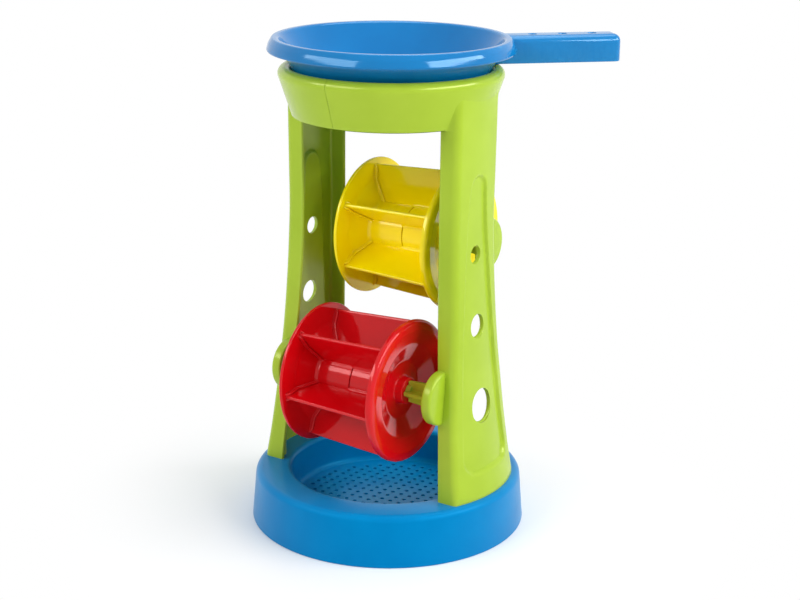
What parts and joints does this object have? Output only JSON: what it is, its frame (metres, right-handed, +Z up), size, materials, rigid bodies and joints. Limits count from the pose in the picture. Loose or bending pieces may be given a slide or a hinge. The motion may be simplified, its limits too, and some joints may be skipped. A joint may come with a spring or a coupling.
{
  "type": "sand wheel toy",
  "caption": "Toy sand wheel: a round sieve base, an upright tower with a collar, paddle wheels that spin as sand falls on them, and a lift-off sieve dish with a handle.",
  "frame": {"origin": "centre of the base's lower edge, on the ground, on the axis of the base, collar and dish", "axes": "+Z up; +X along the wheel axles towards the wheels' thick discs; the lower wheel lies towards -Y"},
  "size_m": [0.1871, 0.1871, 0.2992],
  "materials": {
    "blue_plastic": "gloss",
    "green_plastic": "satin gloss",
    "yellow_plastic": "gloss",
    "red_plastic": "gloss",
    "steel": "plated"
  },
  "bodies": {
    "frame": {"base_tray": "blue_plastic", "tower_half_left": "green_plastic", "tower_half_right": "green_plastic", "foot_screw_1": "steel", "foot_screw_2": "steel", "foot_screw_3": "steel", "foot_screw_4": "steel"},
    "upper_wheel": {"upper_wheel_paddles": "yellow_plastic", "upper_wheel_disc": "yellow_plastic"},
    "lower_wheel": {"lower_wheel_paddles": "red_plastic", "lower_wheel_disc": "red_plastic"},
    "dish": {"sieve_dish": "blue_plastic"}
  },
  "joints": [
    {"name": "upper_wheel_spin", "type": "hinge", "parent": "frame", "child": "upper_wheel", "pos_m": [0.0008, 0.0278, 0.176], "axis": [1, 0, 0], "continuous": true},
    {"name": "lower_wheel_spin", "type": "hinge", "parent": "frame", "child": "lower_wheel", "pos_m": [0.0008, -0.0278, 0.095], "axis": [1, 0, 0], "continuous": true},
    {"name": "dish_lift", "type": "slide", "parent": "frame", "child": "dish", "axis": [0, 0, 1], "range_m": [0, 0.06]}
  ]
}
